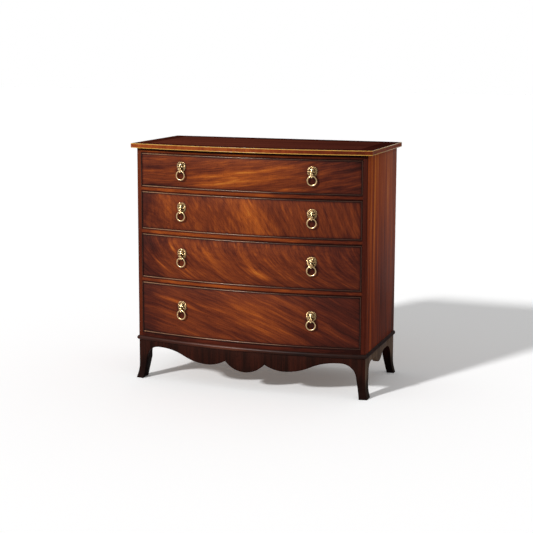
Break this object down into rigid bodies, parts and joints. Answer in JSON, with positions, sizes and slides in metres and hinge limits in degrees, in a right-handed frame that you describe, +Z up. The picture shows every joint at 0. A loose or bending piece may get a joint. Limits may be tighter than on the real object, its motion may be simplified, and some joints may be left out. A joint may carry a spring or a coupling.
{
  "type": "bow front chest of drawers",
  "caption": "Bow-fronted mahogany chest of graduated drawers on splayed feet, with cockbeaded fronts, a string-inlaid top edge, a shaped apron and lion mask ring pulls.",
  "frame": {"origin": "on the floor, under the middle of the chest's overall box", "axes": "+Z up, +X to the chest's right as seen from the front, +Y towards its back"},
  "size_m": [0.99, 0.5129, 0.956],
  "materials": {
    "mahogany_veneer": "polished",
    "mahogany_case": "polished",
    "mahogany_base": "polished",
    "satinwood_stringing": "polished",
    "oak_lining": "waxed",
    "brass_hardware": "polished"
  },
  "bodies": {
    "carcass": {"top_board": "mahogany_case", "top_edge_band": "mahogany_case", "top_stringing": "satinwood_stringing", "side_right": "mahogany_case", "side_left": "mahogany_case", "back_panel": "oak_lining", "top_rail_front": "mahogany_case", "top_rail_back": "oak_lining", "divider_1_rail": "mahogany_case", "divider_2_rail": "mahogany_case", "divider_3_rail": "mahogany_case", "bottom_rail": "mahogany_case", "drawer_runners": "oak_lining", "dust_boards": "oak_lining", "base_moulding": "mahogany_base", "apron_front": "mahogany_base", "foot_front_right": "mahogany_base", "foot_front_left": "mahogany_base", "foot_rear_right": "mahogany_base", "foot_rear_left": "mahogany_base", "side_aprons": "mahogany_base", "back_skirt": "oak_lining", "glue_blocks": "oak_lining", "drawer_stops": "oak_lining"},
    "drawer_1": {"drawer_1_front": "mahogany_veneer", "drawer_1_cockbead": "mahogany_base", "drawer_1_sides": "oak_lining", "drawer_1_back": "oak_lining", "drawer_1_bottom": "oak_lining", "drawer_1_masks": "brass_hardware", "drawer_1_pull_nuts": "brass_hardware"},
    "drawer_1_ring_left": {"drawer_1_ring_left": "brass_hardware"},
    "drawer_1_ring_right": {"drawer_1_ring_right": "brass_hardware"},
    "drawer_2": {"drawer_2_front": "mahogany_veneer", "drawer_2_cockbead": "mahogany_base", "drawer_2_sides": "oak_lining", "drawer_2_back": "oak_lining", "drawer_2_bottom": "oak_lining", "drawer_2_masks": "brass_hardware", "drawer_2_pull_nuts": "brass_hardware"},
    "drawer_2_ring_left": {"drawer_2_ring_left": "brass_hardware"},
    "drawer_2_ring_right": {"drawer_2_ring_right": "brass_hardware"},
    "drawer_3": {"drawer_3_front": "mahogany_veneer", "drawer_3_cockbead": "mahogany_base", "drawer_3_sides": "oak_lining", "drawer_3_back": "oak_lining", "drawer_3_bottom": "oak_lining", "drawer_3_masks": "brass_hardware", "drawer_3_pull_nuts": "brass_hardware"},
    "drawer_3_ring_left": {"drawer_3_ring_left": "brass_hardware"},
    "drawer_3_ring_right": {"drawer_3_ring_right": "brass_hardware"},
    "drawer_4": {"drawer_4_front": "mahogany_veneer", "drawer_4_cockbead": "mahogany_base", "drawer_4_sides": "oak_lining", "drawer_4_back": "oak_lining", "drawer_4_bottom": "oak_lining", "drawer_4_masks": "brass_hardware", "drawer_4_pull_nuts": "brass_hardware"},
    "drawer_4_ring_left": {"drawer_4_ring_left": "brass_hardware"},
    "drawer_4_ring_right": {"drawer_4_ring_right": "brass_hardware"}
  },
  "joints": [
    {"name": "drawer_1_slide", "type": "slide", "parent": "carcass", "child": "drawer_1", "axis": [0, -1, 0], "range_m": [0, 0.3]},
    {"name": "drawer_1_ring_left_swing", "type": "hinge", "parent": "drawer_1", "child": "drawer_1_ring_left", "pos_m": [-0.2692, -0.23032, 0.8556], "axis": [-0.9928, 0.1198, 0], "range_deg": [-12, 110]},
    {"name": "drawer_1_ring_right_swing", "type": "hinge", "parent": "drawer_1", "child": "drawer_1_ring_right", "pos_m": [0.2692, -0.23032, 0.8556], "axis": [-0.9928, -0.1198, 0], "range_deg": [-12, 110]},
    {"name": "drawer_2_slide", "type": "slide", "parent": "carcass", "child": "drawer_2", "axis": [0, -1, 0], "range_m": [0, 0.3]},
    {"name": "drawer_2_ring_left_swing", "type": "hinge", "parent": "drawer_2", "child": "drawer_2_ring_left", "pos_m": [-0.2692, -0.23032, 0.6941], "axis": [-0.9928, 0.1198, 0], "range_deg": [-12, 110]},
    {"name": "drawer_2_ring_right_swing", "type": "hinge", "parent": "drawer_2", "child": "drawer_2_ring_right", "pos_m": [0.2692, -0.23032, 0.6941], "axis": [-0.9928, -0.1198, 0], "range_deg": [-12, 110]},
    {"name": "drawer_3_slide", "type": "slide", "parent": "carcass", "child": "drawer_3", "axis": [0, -1, 0], "range_m": [0, 0.3]},
    {"name": "drawer_3_ring_left_swing", "type": "hinge", "parent": "drawer_3", "child": "drawer_3_ring_left", "pos_m": [-0.2692, -0.23032, 0.5111], "axis": [-0.9928, 0.1198, 0], "range_deg": [-12, 110]},
    {"name": "drawer_3_ring_right_swing", "type": "hinge", "parent": "drawer_3", "child": "drawer_3_ring_right", "pos_m": [0.2692, -0.23032, 0.5111], "axis": [-0.9928, -0.1198, 0], "range_deg": [-12, 110]},
    {"name": "drawer_4_slide", "type": "slide", "parent": "carcass", "child": "drawer_4", "axis": [0, -1, 0], "range_m": [0, 0.3]},
    {"name": "drawer_4_ring_left_swing", "type": "hinge", "parent": "drawer_4", "child": "drawer_4_ring_left", "pos_m": [-0.2692, -0.23032, 0.3001], "axis": [-0.9928, 0.1198, 0], "range_deg": [-12, 110]},
    {"name": "drawer_4_ring_right_swing", "type": "hinge", "parent": "drawer_4", "child": "drawer_4_ring_right", "pos_m": [0.2692, -0.23032, 0.3001], "axis": [-0.9928, -0.1198, 0], "range_deg": [-12, 110]}
  ]
}
